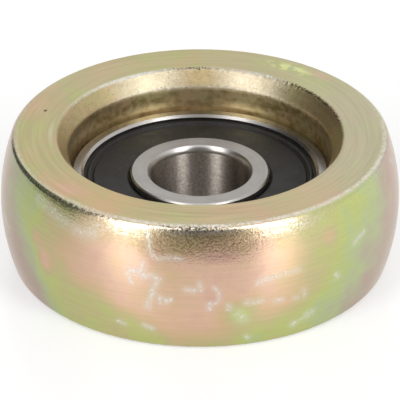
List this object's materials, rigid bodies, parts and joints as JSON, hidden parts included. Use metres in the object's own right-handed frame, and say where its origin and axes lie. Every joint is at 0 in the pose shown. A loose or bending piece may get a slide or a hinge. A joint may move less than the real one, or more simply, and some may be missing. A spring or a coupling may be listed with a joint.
{
  "type": "sliding door roller guide",
  "caption": "Crowned steel roller with a sealed ball bearing pressed into its recessed bore, turning on a bolt or pin to guide or carry a sliding door.",
  "frame": {"origin": "centre of the bottom end face, on the roller's axis", "axes": "+Z along the axis, out of the recessed end face; the first ball is on +X"},
  "size_m": [0.0485, 0.0484, 0.0165],
  "materials": {
    "zinc_plate": "turned steel with yellow passivated zinc plate, faint iridescence and handling marks",
    "ring_steel": "ground bearing steel",
    "seal_rubber": "black moulded rubber, slightly dusty",
    "ball_steel": "polished",
    "cage_steel": "bright pressed strip",
    "rivet_steel": "plain wire"
  },
  "bodies": {
    "roller": {"roller_ring": "zinc_plate", "bearing_outer_ring": "ring_steel", "upper_seal": "seal_rubber", "lower_seal": "seal_rubber"},
    "hub": {"bearing_inner_ring": "ring_steel"},
    "cage": {"upper_cage_half": "cage_steel", "lower_cage_half": "cage_steel", "cage_rivets": "rivet_steel"},
    "ball_1": {"ball_1": "ball_steel"},
    "ball_2": {"ball_2": "ball_steel"},
    "ball_3": {"ball_3": "ball_steel"},
    "ball_4": {"ball_4": "ball_steel"},
    "ball_5": {"ball_5": "ball_steel"},
    "ball_6": {"ball_6": "ball_steel"},
    "ball_7": {"ball_7": "ball_steel"}
  },
  "joints": [
    {"name": "inner_ring_spin", "type": "hinge", "parent": "roller", "child": "hub", "pos_m": [0, 0, 0.0065], "axis": [0, 0, 1], "continuous": true},
    {"name": "cage_spin", "type": "hinge", "parent": "roller", "child": "cage", "pos_m": [0, 0, 0.0065], "axis": [0, 0, 1], "continuous": true},
    {"name": "ball_1_roll", "type": "hinge", "parent": "cage", "child": "ball_1", "pos_m": [0.011, 0, 0.0065], "axis": [0, 0, 1], "continuous": true},
    {"name": "ball_2_roll", "type": "hinge", "parent": "cage", "child": "ball_2", "pos_m": [0.00686, 0.0086, 0.0065], "axis": [0, 0, 1], "continuous": true},
    {"name": "ball_3_roll", "type": "hinge", "parent": "cage", "child": "ball_3", "pos_m": [-0.00245, 0.01072, 0.0065], "axis": [0, 0, 1], "continuous": true},
    {"name": "ball_4_roll", "type": "hinge", "parent": "cage", "child": "ball_4", "pos_m": [-0.00991, 0.00477, 0.0065], "axis": [0, 0, 1], "continuous": true},
    {"name": "ball_5_roll", "type": "hinge", "parent": "cage", "child": "ball_5", "pos_m": [-0.00991, -0.00477, 0.0065], "axis": [0, 0, 1], "continuous": true},
    {"name": "ball_6_roll", "type": "hinge", "parent": "cage", "child": "ball_6", "pos_m": [-0.00245, -0.01072, 0.0065], "axis": [0, 0, 1], "continuous": true},
    {"name": "ball_7_roll", "type": "hinge", "parent": "cage", "child": "ball_7", "pos_m": [0.00686, -0.0086, 0.0065], "axis": [0, 0, 1], "continuous": true}
  ],
  "couplings": [
    {"joint": "cage_spin", "follows": "inner_ring_spin", "ratio": 0.36477},
    {"joint": "ball_1_roll", "follows": "inner_ring_spin", "ratio": -1.7135},
    {"joint": "ball_2_roll", "follows": "inner_ring_spin", "ratio": -1.7135},
    {"joint": "ball_3_roll", "follows": "inner_ring_spin", "ratio": -1.7135},
    {"joint": "ball_4_roll", "follows": "inner_ring_spin", "ratio": -1.7135},
    {"joint": "ball_5_roll", "follows": "inner_ring_spin", "ratio": -1.7135},
    {"joint": "ball_6_roll", "follows": "inner_ring_spin", "ratio": -1.7135},
    {"joint": "ball_7_roll", "follows": "inner_ring_spin", "ratio": -1.7135}
  ]
}
